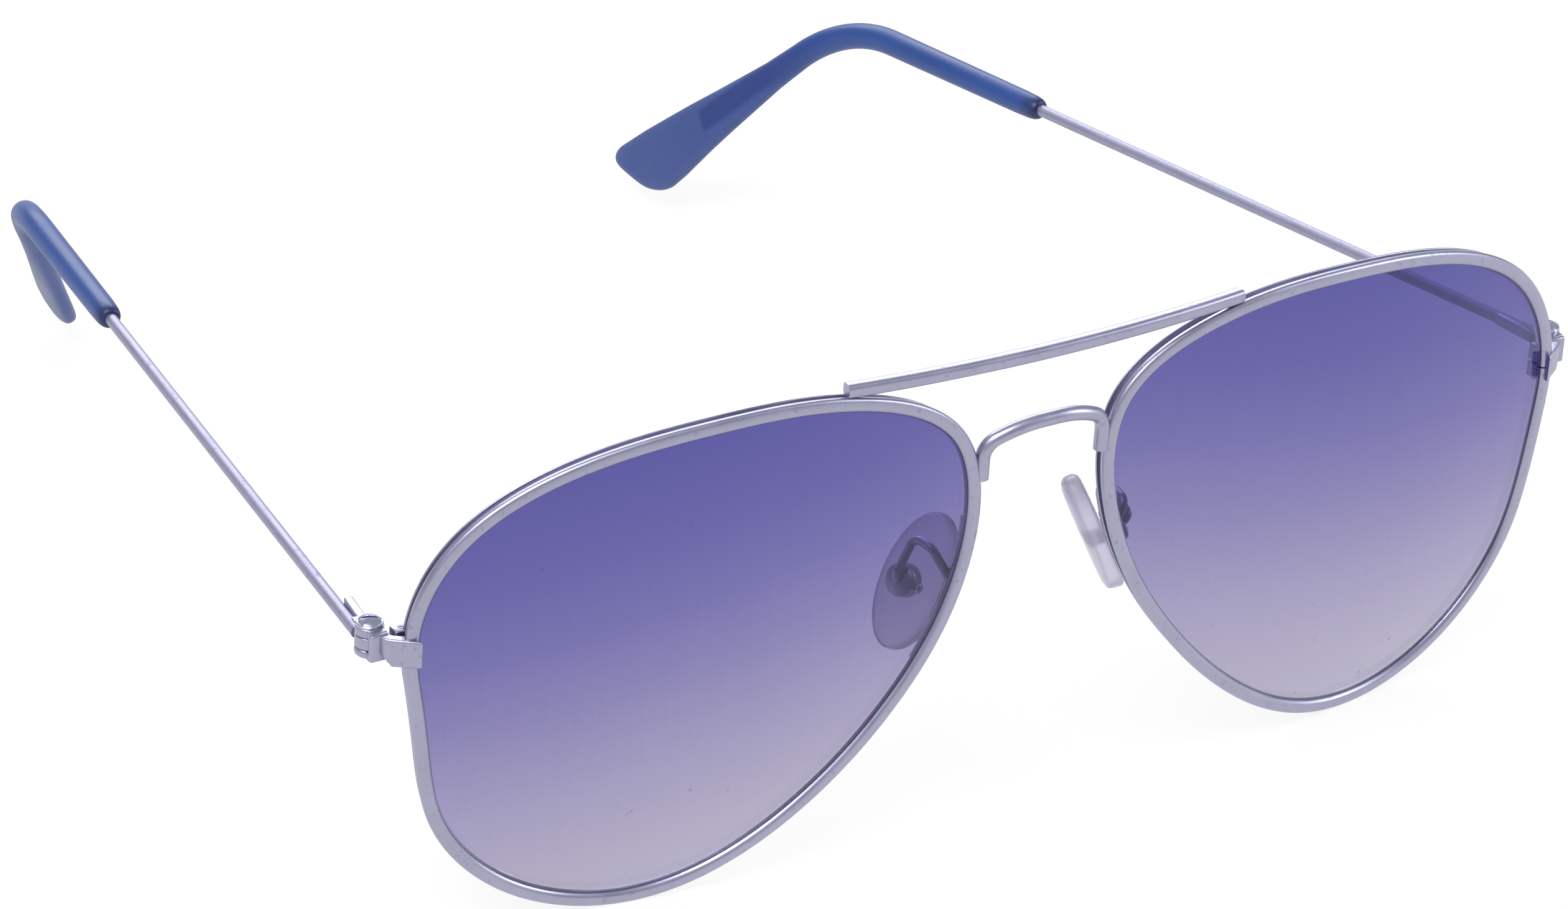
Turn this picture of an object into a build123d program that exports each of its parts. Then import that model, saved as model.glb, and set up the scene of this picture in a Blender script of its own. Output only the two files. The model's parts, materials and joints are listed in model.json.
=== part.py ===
from build123d import *
import os
from math import atan2, cos, degrees, radians, sin, tan

# Aviator sunglasses: two wire rims joined by a brow bar and a saddle bridge, screw-on nose pads on
# wire arms, and two wire temples that fold on three-knuckle hinges. Millimetres, +Z up, +X to the
# wearer's left, +Y towards the wearer. Every piece is first built in the plane of the front, with
# X = 0 at the middle of the bridge, and the whole is then tipped to stand on its rims and tips.

# ---- driving sizes -----------------------------------------------------------------------------
# lenses: each lies on its own sphere, which is turned outwards by the wrap
lens_width = 60.4             # on the flat plane that touches the lens
lens_height = 52.3
lens_gap = 17.0               # from one flat plane's lens to the other, before the wrap
outline_in = 1.5              # middle of the outline towards the nose from that point
outline_down = 1.9
rim_sphere = 119.3            # radius of the middle of the rim
wrap_angle = 6.8
lens_thickness = 1.8
lens_setback = 0.3            # middle of the lens behind the middle of the rim

# rims: drawn wire with a groove that takes the tongue round the lens
rim_width = 1.5
rim_depth = 1.8
rim_rounding = 0.5
groove_depth = 0.5
groove_width = 0.9
lens_clearance = 0.04
slit_width = 0.16             # where the rim opens to take the lens

# brow bar and bridge
brow_height = 1.6
brow_depth = 1.6
brow_rounding = 0.5
brow_inset = 15.8             # end of the bar from the middle of the eye towards the nose
brow_seat = 0.75              # middle of the bar above the top of the lens
brow_bow = 3.0
brow_forward = 1.5
bridge_wire = 1.5
bridge_level = 16.9
bridge_half_span = 7.0
bridge_rise = 0.9
bridge_forward = 0.4          # wire ahead of the middle of the rim
bridge_bow = 0.9
foot_level = 11.6
foot_bend = 2.6
crown_bend = 14.0

# end pieces, closing blocks and rim screws
end_height = 4.0
end_thickness = 1.3
end_level = 4.4               # middle of the end piece and of the slit in the rim
end_corner_radius = 1.2
end_front = 0.4               # front of the end piece ahead of the middle of the rim
end_lean = 14.0
block_width = 2.0
block_depth = 1.4
block_outset = 0.1            # middle of the blocks outside the middle of the rim
block_gap = 0.16
rim_screw_radius = 0.5
rim_screw_head = 0.6
rim_screw_head_height = 0.5
block_step = 0.15             # blocks end short of the end piece
block_seat = 0.0              # blocks reach this far over the back of the rim

# hinges
hinge_outset = 2.6            # hinge axis outside the middle of the rim
hinge_setback = 3.2           # hinge axis behind the middle of the rim
knuckle_radius = 1.4
hinge_base = 0.7              # plate that carries the front knuckles
knuckle_play = 0.06           # between neighbouring knuckles
hinge_pin = 0.6               # radius of the screw's plain part
hinge_play = 0.04             # radial, between the screw and the knuckle that turns on it
hinge_head_radius = 1.35
hinge_head_height = 0.8
slot_width = 0.35
slot_depth = 0.4
slot_turn = 25.0
neck_gap = 0.1                # between the rear knuckle's neck and the end of the wire
middle_share = 0.42           # share of the hinge height that the middle knuckle takes
leaf_thickness = 0.9
leaf_bite = 0.15              # brazed seam between the leaf and the wire
leaf_length = 7.0

# temples
temple_wire = 1.3
temple_length = 109.7         # hinge to the corner of the ear bend
temple_hook = 38.1            # from that corner to the end
temple_toe_in = 9.3
temple_drop = 4.1
hook_toe_in = 37.6
hook_drop = 45.8
ear_bend_radius = 17.0
wire_gap = 3.4                # end of the wire behind the hinge axis
wire_outset = 0.6             # line of the wire outside the hinge axis
wire_lift = 0.4               # and above the middle of the hinge
sleeve_start = 78.2           # hinge to the full width of the sleeve
mouth_width = 2.2
sleeve_width = 2.9
sleeve_height = 2.5
paddle_width = 8.2
paddle_thickness = 2.1
mouth_length = 0.8
paddle_neck = 13.0            # from the ear corner to where the width grows
paddle_full = 30.0            # and to the full width
paddle_corner_radius = 1.9
end_slant = 2.5
core_width = 2.3
core_thickness = 0.8
core_reach = 23.0             # core beyond the corner of the ear bend

# nose pads
pad_length = 14.6
pad_width = 7.6
pad_thickness = 2.0
pad_rounding = 0.8
pad_end_radius = 2.6
pad_frontal = 25.0
pad_splay = 18.0
pad_spread = 10.7             # middle of a pad from the middle of the bridge
pad_setback = 5.7
pad_level = -1.1
pad_turn = -5.0               # top of the pad turned towards the front
cup_radius = 1.7
cup_depth = 1.7
cup_floor = 0.35
pad_air = 0.3                 # between pad and cup, so that the pad can rock
boss_width = 1.4
boss_length = 1.2
boss_play = 0.05
pad_screw_radius = 0.3
pad_screw_head = 0.5
arm_wire = 0.9
arm_strip_width = 1.0
arm_strip_depth = 0.7
arm_strip_outset = 0.2        # strip nearer the nose than the middle of the rim
arm_root_level = 2.4
arm_loop_height = 3.6
arm_loop_reach = 0.9
arm_step_out = 1.7            # first corner of the wire from its root on the rim
arm_step_back = 0.75
arm_root_lift = 0.15          # end of the wire behind the middle of the strip
arm_bend = 0.8
arm_strip_top = 6.8
arm_strip_bottom = -3.8

# ---- lens outline ------------------------------------------------------------------------------
# Edge of the wearer's left lens in shares of half its width, outwards, and half its height, upwards
lens_shape = [
    (1.00, 0.07), (0.89, 0.63), (0.48, 0.91), (-0.01, 1.00), (-0.51, 0.98), (-0.94, 0.72),
    (-0.94, 0.17), (-0.69, -0.33), (-0.34, -0.73), (0.10, -0.98), (0.58, -0.90), (0.91, -0.49),
]
outline_samples = 24
rim_search = 1200

# ---- frames that the pieces share ----------------------------------------------------------------
wrap = radians(wrap_angle)
eye_spacing = lens_width + lens_gap
brow_level = lens_height / 2 - outline_down + brow_seat
brow_half_length = eye_spacing / 2 - brow_inset
eye = Vector(eye_spacing / 2, 0, 0)
sphere_centre = eye + Vector(-sin(wrap), cos(wrap), 0) * rim_sphere
eye_plane = Plane(origin=eye, x_dir=(cos(wrap), sin(wrap), 0), z_dir=(sin(wrap), -cos(wrap), 0))
rim_outset = rim_width - groove_depth       # outside of the rim from the edge of the lens
rim_middle = rim_width / 2 - groove_depth   # middle of the rim from the edge of the lens


def lens_loop(outset):
    """Edge of the lens, moved outwards, as a closed curve on the plane that touches the lens."""
    edge = Edge.make_spline(
        [(u * lens_width / 2 - outline_in, v * lens_height / 2 - outline_down) for u, v in lens_shape],
        periodic=True,
    )
    points = []
    for i in range(outline_samples):
        along = edge.tangent_at(i / outline_samples)
        points.append(edge.position_at(i / outline_samples) + Vector(along.Y, -along.X) * outset)
    return Edge.make_spline(points, periodic=True)


def lens_cone(outset):
    """Solid inside the moved outline, with its walls square to the lens sphere."""
    flat = lens_loop(outset)
    sections = []
    for scale in (0.9, 1.1):
        plane = eye_plane.offset(rim_sphere * (scale - 1))
        sections.append(plane * Face(Wire([flat.scale(scale)])))
    return loft(sections, ruled=True)


def shell(middle, thickness):
    """Shell of the lens sphere whose middle lies this far in front of the rim's middle."""
    outer = Sphere(rim_sphere + middle + thickness / 2)
    inner = Sphere(rim_sphere + middle - thickness / 2)
    return Pos(sphere_centre) * (outer - inner)


def rim_point(level, nasal, outset=0, lift=0):
    """Point of the rim at a height: outset from its middle line and lifted to its front."""
    loop = lens_loop(rim_middle + outset)
    points = []
    for i in range(rim_search):
        flat = loop.position_at(i / rim_search)
        away = (eye_plane.from_local_coords(flat) - sphere_centre).normalized()
        if (flat.X < -outline_in) == nasal:
            points.append(sphere_centre + away * (rim_sphere + lift))
    return min(points, key=lambda p: abs(p.Z - level))


rim_out = rim_point(end_level, nasal=False)
hinge_axis = Vector(rim_out.X + hinge_outset, rim_out.Y + hinge_setback, end_level)


def direction(toe_in, drop):
    """Unit vector that points backwards, turned inwards and downwards, in degrees."""
    inwards, down = radians(toe_in), radians(drop)
    return Vector(-sin(inwards) * cos(down), cos(inwards) * cos(down), -sin(down))


temple_way = direction(temple_toe_in, temple_drop)
hook_way = direction(hook_toe_in, hook_drop)
wire_line = hinge_axis + Vector(wire_outset, 0, wire_lift)
ear_corner = wire_line + temple_way * temple_length
temple_end = ear_corner + hook_way * temple_hook
bend_side = temple_way.cross(hook_way).normalized()
past_bend = ear_bend_radius * tan(radians(temple_way.get_angle(hook_way)) / 2)

frontal, splay = radians(pad_frontal), radians(pad_splay)
pad_face = Vector(-cos(frontal) * cos(splay), cos(frontal) * sin(splay), -sin(frontal))
pad_across = Vector(sin(splay), cos(splay), 0)
pad_upright = pad_across.cross(pad_face).rotate(Axis((0, 0, 0), pad_face), pad_turn)
pad_plane = Plane(origin=(pad_spread, pad_setback, pad_level), x_dir=pad_upright, z_dir=pad_face)


# ---- front --------------------------------------------------------------------------------------
def make_rim():
    rim = (lens_cone(rim_outset) - lens_cone(-groove_depth)) & shell(0, rim_depth)
    rim -= lens_cone(lens_clearance) & shell(-lens_setback, groove_width)
    outside = rim.faces().sort_by(SortBy.AREA)[-1]
    rim = chamfer(outside.edges().filter_by(lambda e: e.length > rim_depth * 2), rim_rounding)
    slit = Pos(rim_out.X, rim_out.Y, end_level) * Box(3 * rim_width, 3 * rim_depth, slit_width)
    return rim - slit


def make_lens():
    glass = lens_cone(-groove_depth - lens_clearance) & shell(-lens_setback, lens_thickness)
    tongue = lens_cone(0) & shell(-lens_setback, groove_width - 2 * lens_clearance)
    return glass + tongue


def make_brow_bar(rims):
    middle = Vector(0, -brow_forward, brow_level)
    end = Vector(brow_half_length, brow_bow - brow_forward, brow_level)
    line = ThreePointArc((-end.X, end.Y, end.Z), middle, end)
    section = Plane(origin=line @ 0, z_dir=line % 0, x_dir=(0, 0, 1)) * RectangleRounded(
        brow_height, brow_depth, brow_rounding
    )
    return sweep(section, path=line) - rims


def make_bridge(rims):
    foot = rim_point(foot_level, nasal=True, outset=rim_width / 2 + bridge_wire * 0.25)
    foot -= Vector(0, bridge_forward, 0)
    shoulder = Vector(bridge_half_span, foot.Y, bridge_level - bridge_rise)
    crown = Vector(bridge_half_span * 0.45, foot.Y - bridge_bow, bridge_level + 0.2)
    half = [foot, shoulder, crown]
    points = half + [Vector(-p.X, p.Y, p.Z) for p in reversed(half)]
    line = FilletPolyline(*points, radius=[foot_bend, crown_bend, crown_bend, foot_bend])
    section = Plane(origin=line @ 0, z_dir=line % 0) * Circle(bridge_wire / 2)
    return sweep(section, path=line) - rims


# ---- end pieces and rim closing -------------------------------------------------------------------
def end_line():
    """Middle line of the end piece, from the rim round the corner to the hinge."""
    root = Vector(rim_out.X + rim_width / 4, rim_out.Y - end_front + end_thickness / 2)
    out = hinge_axis.X - root.X
    corner = root + Vector(out, out * tan(radians(end_lean)))
    back = Vector(hinge_axis.X + end_thickness / 4, hinge_axis.Y - knuckle_radius - hinge_base / 2)
    return FilletPolyline(root, corner, back, radius=end_corner_radius)


def make_end_piece():
    plan = trace(end_line(), end_thickness)
    body = extrude(plan, end_height / 2, both=True)
    body = Pos(0, 0, end_level) * body
    body -= lens_cone(rim_outset) & shell(0, 3 * rim_depth)
    return body


def make_closing_blocks(rim, end_piece):
    """Upper and lower block behind the ends of the rim, bored for the rim screw."""
    axis = rim_screw_axis()
    blocks = []
    for side in (1, -1):
        height = (end_height - block_gap) / 2 - block_step
        level = end_level + side * (block_gap + height) / 2
        body = Pos(axis.X, axis.Y, level) * Box(block_width, block_depth, height)
        body -= Pos(axis.X, axis.Y, level) * Cylinder(rim_screw_radius, 2 * height)
        body -= lens_cone(rim_outset) & shell(0, rim_depth)
        blocks.append(body - end_piece)
    return blocks


def rim_screw_axis():
    return Vector(rim_out.X + block_outset, rim_out.Y + rim_depth / 2 + block_depth / 2 - block_seat)


def make_rim_screw():
    axis = rim_screw_axis()
    height = end_height - 2 * block_step
    shank = Pos(axis.X, axis.Y, end_level) * Cylinder(rim_screw_radius, height)
    low = end_level - height / 2 - rim_screw_head_height / 2
    head = Pos(axis.X, axis.Y, low) * Cylinder(rim_screw_head, rim_screw_head_height)
    head -= Pos(axis.X, axis.Y, low - rim_screw_head_height / 2) * Box(
        2 * rim_screw_head, slot_width, rim_screw_head_height
    )
    return shank + head


# ---- hinges ---------------------------------------------------------------------------------------
middle_height = end_height * middle_share
leaf_inset = leaf_thickness - leaf_bite + temple_wire / 2 - wire_outset
outer_height = (end_height - middle_height) / 2


def at_hinge(x, y, z, angle=0):
    return Location(hinge_axis + Vector(x, y, z), (0, 0, angle))


def make_front_hinge(end_piece):
    """Two knuckles on the plate behind the end piece."""
    base_y = -knuckle_radius - hinge_base / 2 - knuckle_play
    body = at_hinge(0, base_y, 0) * Box(2 * knuckle_radius, hinge_base, end_height)
    for side in (1, -1):
        level = side * (end_height - outer_height) / 2
        body += at_hinge(0, 0, level) * Cylinder(knuckle_radius, outer_height)
        web_length = knuckle_radius + knuckle_play + hinge_base / 2
        body += at_hinge(0, -web_length / 2, level) * Box(2 * knuckle_radius, web_length, outer_height)
    body -= at_hinge(0, 0, 0) * Cylinder(hinge_pin + hinge_play, 2 * end_height)
    return body - end_piece


def make_hinge_screw():
    """Domed slotted screw that both front knuckles hold and the middle one turns on."""
    pin = at_hinge(0, 0, 0) * Cylinder(hinge_pin, end_height)
    drop = hinge_head_height * 0.75
    dome = (hinge_head_radius**2 + drop**2) / (2 * drop)
    head = Cylinder(hinge_head_radius, hinge_head_height)
    head &= Pos(0, 0, hinge_head_height / 2 - dome) * Sphere(dome)
    head -= Pos(0, 0, hinge_head_height / 2) * Box(2 * hinge_head_radius, slot_width, 2 * slot_depth)
    return pin + at_hinge(0, 0, (end_height + hinge_head_height) / 2, slot_turn) * head


def make_rear_hinge(wire):
    """Middle knuckle with the leaf that is brazed to the inner side of the temple wire."""
    height = middle_height - 2 * knuckle_play
    body = at_hinge(0, 0, 0) * Cylinder(knuckle_radius, height)
    neck_length = wire_gap - neck_gap
    neck_width = leaf_inset + temple_wire / 2
    neck = Pos(neck_width / 2 - leaf_inset, neck_length / 2, 0) * Box(neck_width, neck_length, height)
    leaf = Pos(leaf_thickness / 2 - leaf_inset, leaf_length / 2, 0) * Box(leaf_thickness, leaf_length, height)
    body += at_hinge(0, 0, 0, temple_toe_in) * (neck + leaf)
    body -= at_hinge(0, 0, 0) * Cylinder(hinge_pin + hinge_play, 2 * height)
    return body - wire


# ---- temples --------------------------------------------------------------------------------------
def temple_line(start, reach):
    """Line of the temple from a distance behind the hinge to a distance beyond the ear bend."""
    points = [wire_line + temple_way * start, ear_corner, ear_corner + hook_way * reach]
    return FilletPolyline(*points, radius=ear_bend_radius)


def across(line, share):
    """Plane square to the line, with its X in the plane of the ear bend."""
    along = line % share
    return Plane(origin=line @ share, x_dir=along.cross(bend_side), z_dir=along)


def make_temple_wire():
    """Round wire, beaten to a flat blade where it ends inside the sleeve's paddle."""
    round_part = temple_line(wire_gap, past_bend + temple_wire)
    wire = sweep(across(round_part, 0) * Circle(temple_wire / 2), path=round_part)
    blade_start = across(temple_line(wire_gap, past_bend + temple_wire / 2), 1)
    blade = extrude(Rectangle(core_width, core_thickness), core_reach - past_bend - temple_wire / 2)
    blade = chamfer(blade.edges().filter_by(Axis.Z), core_thickness * 0.25)
    return wire + blade_start * blade


def make_paddle():
    """Flat end of the tip: widens behind the ear and ends on a slant with round corners."""
    neck = sleeve_width / 2
    full = paddle_width / 2
    outline = Polyline(
        (past_bend, -neck), (paddle_neck, -neck * 1.15), (paddle_full, -full),
        (temple_hook - end_slant, -full), (temple_hook, full),
        (paddle_full, full), (paddle_neck, neck * 1.15), (past_bend, neck), close=True
    )
    face = make_face(outline)
    corners = face.vertices().filter_by(lambda v: v.X > paddle_full + 1)
    face = fillet(corners, paddle_corner_radius)
    body = extrude(face, paddle_thickness / 2, both=True)
    layers = body.edges().group_by(Axis.Z)
    body = fillet(layers[0] + layers[-1], paddle_thickness * 0.4)
    return Plane(origin=ear_corner, x_dir=hook_way, z_dir=bend_side) * body


def make_temple_tip(wire):
    """Sleeve over the wire that widens into a flat paddle behind the ear."""
    straight_on = past_bend + sleeve_width
    sleeve_line = temple_line(sleeve_start, straight_on)
    mouth = across(sleeve_line, 0)
    sleeve = sweep(mouth * Circle(sleeve_width / 2), path=sleeve_line)
    sleeve += loft([mouth * Circle(sleeve_width / 2), mouth.offset(-mouth_length) * Circle(mouth_width / 2)])
    end = across(sleeve_line, 1)
    run_out = end.offset(paddle_full - straight_on)
    sleeve += loft([end * Circle(sleeve_width / 2), run_out * Circle(paddle_thickness / 2 - 0.1)])
    return sleeve + make_paddle() - wire


# ---- nose pads ------------------------------------------------------------------------------------
pivot_depth = pad_thickness / 2 + pad_air + (cup_depth - cup_floor) / 2
cup_back = pad_thickness / 2 + pad_air + cup_depth
strip_lift = -(rim_depth + arm_strip_depth) / 2


def oval(length, width, end_radius):
    """Face inside two end arcs and the two side arcs that touch them."""
    reach = length / 2 - end_radius
    side_radius = (reach**2 + width**2 / 4 - end_radius**2) / (width - 2 * end_radius)
    centre = Vector(0, width / 2 - side_radius)
    touch = centre + (Vector(reach, 0) - centre).normalized() * side_radius
    quarter = [
        ThreePointArc((-touch.X, touch.Y), (0, width / 2), (touch.X, touch.Y)),
        ThreePointArc((touch.X, touch.Y), (length / 2, 0), (touch.X, -touch.Y)),
    ]
    turned = [Rot(0, 0, 180) * arc for arc in quarter]
    return make_face(quarter + turned)


def make_nose_pad():
    pad = extrude(oval(pad_length, pad_width, pad_end_radius), pad_thickness / 2, both=True)
    pad = fillet(pad.edges().group_by(Axis.Z)[-1] + pad.edges().group_by(Axis.Z)[0], pad_rounding)
    boss_depth = pivot_depth + boss_length / 2
    boss = Pos(0, 0, -boss_depth / 2) * Box(boss_length, boss_width, boss_depth)
    boss = fillet(boss.edges().filter_by(Axis.Y).group_by(Axis.Z)[0], boss_length * 0.45)
    pad += boss
    pad -= Pos(0, 0, -pivot_depth) * Rot(90, 0, 0) * Cylinder(pad_screw_radius + boss_play, pad_width)
    return pad_plane * pad


def make_pad_cup():
    """Small metal box behind the pad, open towards it."""
    middle = -(cup_back - cup_depth / 2)
    cup = Pos(0, 0, middle) * Cylinder(cup_radius, cup_depth)
    pocket_length = boss_length + 4 * pad_air
    cup -= Pos(0, 0, middle + cup_floor) * Box(pocket_length, boss_width + 2 * boss_play, cup_depth)
    cup -= Pos(0, 0, -pivot_depth) * Rot(90, 0, 0) * Cylinder(pad_screw_radius, 3 * cup_radius)
    return pad_plane * cup


def make_pad_screw():
    shank = Rot(90, 0, 0) * Cylinder(pad_screw_radius, 2 * cup_radius)
    head_at = Pos(0, -cup_radius - pad_screw_head / 2, 0) * Rot(90, 0, 0)
    head = head_at * Cylinder(pad_screw_head, pad_screw_head)
    return pad_plane * Pos(0, 0, -pivot_depth) * (shank + head)


def make_pad_arm(rim, cup):
    """Strip brazed along the back of the rim, with the wire loop that carries the cup."""
    levels = (arm_strip_top, (arm_strip_top + arm_strip_bottom) / 2, arm_strip_bottom)
    points = [rim_point(z, nasal=True, outset=arm_strip_outset, lift=strip_lift) for z in levels]
    line = ThreePointArc(*points)
    outwards = (line @ 0 - sphere_centre).normalized()
    strip_plane = Plane(origin=line @ 0, x_dir=outwards, z_dir=line % 0)
    strip = sweep(strip_plane * Rectangle(arm_strip_depth, arm_strip_width), path=line)
    root_lift = strip_lift - arm_root_lift
    root = rim_point(arm_root_level, nasal=True, outset=arm_strip_outset, lift=root_lift)
    back = pad_plane.from_local_coords((0, 0, cup_floor / 2 - cup_back))
    turn = pad_plane.from_local_coords((0, 0, -cup_back - arm_loop_reach))
    top = pad_plane.from_local_coords((arm_loop_height, 0, -cup_back - arm_loop_reach / 2))
    over = Vector(root.X + arm_step_out, root.Y + arm_step_back, top.Z)
    wire_path = FilletPolyline(back, turn, top, over, root, radius=arm_bend)
    wire = sweep(Plane(origin=wire_path @ 0, z_dir=wire_path % 0) * Circle(arm_wire / 2), path=wire_path)
    return strip + wire - rim - cup


# ---- the whole pair -------------------------------------------------------------------------------
rim = make_rim()
lens = make_lens()
end_piece = make_end_piece()
upper_block, lower_block = make_closing_blocks(rim, end_piece)
wire = make_temple_wire()
cup = make_pad_cup()
one_side = {
    "rim": rim,
    "lens": lens,
    "end_piece": end_piece,
    "closing_block_upper": upper_block,
    "closing_block_lower": lower_block,
    "rim_screw": make_rim_screw(),
    "hinge_front": make_front_hinge(end_piece),
    "hinge_rear": make_rear_hinge(wire),
    "hinge_screw": make_hinge_screw(),
    "temple_wire": wire,
    "temple_tip": make_temple_tip(wire),
    "pad_arm": make_pad_arm(rim, cup),
    "pad_cup": cup,
    "pad_screw": make_pad_screw(),
    "nose_pad": make_nose_pad(),
}
rims = [rim, mirror(rim, about=Plane.YZ)]
pieces = {"brow_bar": make_brow_bar(rims), "bridge": make_bridge(rims)}
for name, solid in one_side.items():
    pieces[name + "_left"] = solid
    pieces[name + "_right"] = mirror(solid, about=Plane.YZ)


def tipped(tilt):
    """Turn about the hinge line that brings rims and tips down to one level."""
    return Rot(tilt, 0, 0)


rest_tilt = 0
for attempt in range(4):
    front_foot = (tipped(rest_tilt) * rim).bounding_box()
    rear_foot = (tipped(rest_tilt) * one_side["temple_tip"]).bounding_box()
    run = rear_foot.max.Y - front_foot.min.Y
    rest_tilt += degrees(atan2(front_foot.min.Z - rear_foot.min.Z, run))

boxes = [(tipped(rest_tilt) * solid).bounding_box() for solid in pieces.values()]
floor = min(box.min.Z for box in boxes)
middle = (min(box.min.Y for box in boxes) + max(box.max.Y for box in boxes)) / 2
stand = Pos(0, -middle, -floor) * tipped(rest_tilt)

if __name__ == "__main__":
    os.makedirs("parts", exist_ok=True)
    for name, solid in pieces.items():
        export_step(stand * solid, "parts/" + name + ".step")
    hinge_point = (stand * Pos(hinge_axis)).position
    print("tilt", rest_tilt, "hinge", hinge_point, "up", (stand * Plane.XY).z_dir)
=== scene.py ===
import json
from functools import partial
from math import atan2, cos, pi, radians, sin, tan

import bmesh
import bpy
import numpy as np
from mathutils import Matrix, Vector


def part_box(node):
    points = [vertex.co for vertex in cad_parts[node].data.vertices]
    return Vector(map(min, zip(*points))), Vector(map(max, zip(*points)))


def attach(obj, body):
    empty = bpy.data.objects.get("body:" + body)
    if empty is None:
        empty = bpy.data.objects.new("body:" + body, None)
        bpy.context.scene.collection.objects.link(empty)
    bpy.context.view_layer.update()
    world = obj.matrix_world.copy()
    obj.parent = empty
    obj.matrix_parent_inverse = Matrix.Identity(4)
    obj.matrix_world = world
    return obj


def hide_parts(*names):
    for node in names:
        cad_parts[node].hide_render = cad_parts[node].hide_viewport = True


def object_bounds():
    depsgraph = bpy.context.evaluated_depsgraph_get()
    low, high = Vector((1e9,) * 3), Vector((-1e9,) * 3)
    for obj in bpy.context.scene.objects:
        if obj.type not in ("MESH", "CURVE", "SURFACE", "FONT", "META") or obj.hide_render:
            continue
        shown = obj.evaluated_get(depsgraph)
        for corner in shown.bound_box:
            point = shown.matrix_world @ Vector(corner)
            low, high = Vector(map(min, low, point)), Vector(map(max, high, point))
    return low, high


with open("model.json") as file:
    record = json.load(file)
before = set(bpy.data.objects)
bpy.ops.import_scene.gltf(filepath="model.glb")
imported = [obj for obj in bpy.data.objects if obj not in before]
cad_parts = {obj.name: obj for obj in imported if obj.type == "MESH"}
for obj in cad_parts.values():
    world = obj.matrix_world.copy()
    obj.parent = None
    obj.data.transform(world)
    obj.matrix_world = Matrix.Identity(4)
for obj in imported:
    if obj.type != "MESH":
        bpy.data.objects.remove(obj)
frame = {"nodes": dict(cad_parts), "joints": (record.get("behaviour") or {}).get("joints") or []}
nodes = frame["nodes"]
cad_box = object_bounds()

# Aviator sunglasses. Sizes are in millimetres, in the plane of the front: X to the wearer's left,
# Y backwards, Z up, with zero at the middle of the bridge. Pieces are made for the wearer's left.

# ---- driving sizes -----------------------------------------------------------------------------------
# They are those of the solids, apart from the wires, plates and ends that are drawn finer here.
MM = 0.001
lens_width, lens_height = 60.4, 52.3
lens_gap = 17.0
eye_spacing = lens_width + lens_gap
outline_in, outline_down = 1.5, 1.9
rim_sphere = 119.3
wrap = radians(6.8)
lens_thickness, lens_setback, lens_clearance = 1.4, 0.3, 0.04
rim_width, rim_depth, groove_depth, groove_width = 1.5, 1.8, 0.5, 0.9
slit_width = 0.16
brow_inset, brow_seat, brow_bow, brow_end = 15.8, 0.68, 1.5, 1.5
brow_half_length = eye_spacing / 2 - brow_inset
brow_level = lens_height / 2 - outline_down + brow_seat
brow_height, brow_depth = 1.45, 1.45
bridge_wire, bridge_level, bridge_half_span = 1.5, 16.9, 7.0
bridge_rise, bridge_crown, bridge_forward, bridge_bow = 1.3, 0.5, 0.4, 0.9
foot_level, foot_bend, crown_bend = 11.6, 2.4, 9.5
end_level, plate_height, plate_thickness, plate_corner = 4.4, 3.0, 1.1, 1.2
plate_front, plate_turn, plate_lift, plate_taper = (-1.9, -2.08), (2.0, 0.64), 0.5, 0.4
plate_inset, plate_play, plate_cut, plate_cut_lean = 0.25, 0.1, -0.1, -0.18
hinge_outset, hinge_setback = 2.6, 3.2
knuckle_radius, hinge_base, knuckle_play, middle_share = 1.4, 0.7, 0.06, 0.42
hinge_height, hinge_lift, hinge_base_width, hinge_web_width = 3.2, 0.4, 1.9, 1.8
hinge_shank_radius, hinge_dome, hinge_slot_depth = 0.6, 0.55, 0.42
hinge_head_radius, hinge_head_height, slot_width, slot_turn = 1.35, 0.8, 0.35, 25.0
temple_wire, temple_length, temple_hook = 1.3, 109.7, 38.1
temple_toe_in, temple_drop = 9.3, 4.1
hook_toe_in, hook_drop, ear_bend_radius = 37.6, 45.8, 17.0
wire_gap, wire_start, wire_outset, wire_lift = 3.4, 1.7, 0.6, 0.4
neck_gap, leaf_thickness, leaf_bite, leaf_length = 0.1, 0.9, 0.15, 7.0
sleeve_start, mouth_overlap = 78.2, 0.8
paddle_width, paddle_end_width, paddle_thickness = 8.2, 8.3, 2.1
core_width, core_reach = 2.6, 23.0
end_slant, slant_length, end_corner, skin_edge = 5.0, 12.0, 2.5, 0.75
blocks_height, block_width, block_depth = 4.0, 2.0, 1.4
block_gap, block_outset, block_step = 0.16, 0.1, 0.15
rim_screw_radius, rim_screw_head, rim_screw_head_height = 0.5, 0.6, 0.5
pad_length, pad_width, pad_thickness, pad_rounding, pad_crown = 14.6, 7.6, 2.0, 0.85, 0.16
pad_frontal, pad_splay, pad_turn = 25.0, 18.0, -5.0
pad_spread, pad_setback, pad_level = 10.7, 5.7, -1.1
cup_radius, cup_depth, cup_floor, pad_air = 1.7, 1.7, 0.35, 0.3
boss_width, boss_length, pad_screw_radius, pad_screw_head = 1.4, 1.2, 0.3, 0.5
arm_wire, arm_strip_width, arm_strip_depth, arm_strip_outset = 0.9, 1.0, 0.7, 0.2
arm_root_level, arm_loop_height, arm_loop_reach = 1.2, 4.6, 0.9
arm_step_out, arm_step_back, arm_root_lift, arm_bend = 1.7, 0.75, 0.15, 0.95
arm_strip_top, arm_strip_bottom = 6.8, -3.8

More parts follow.
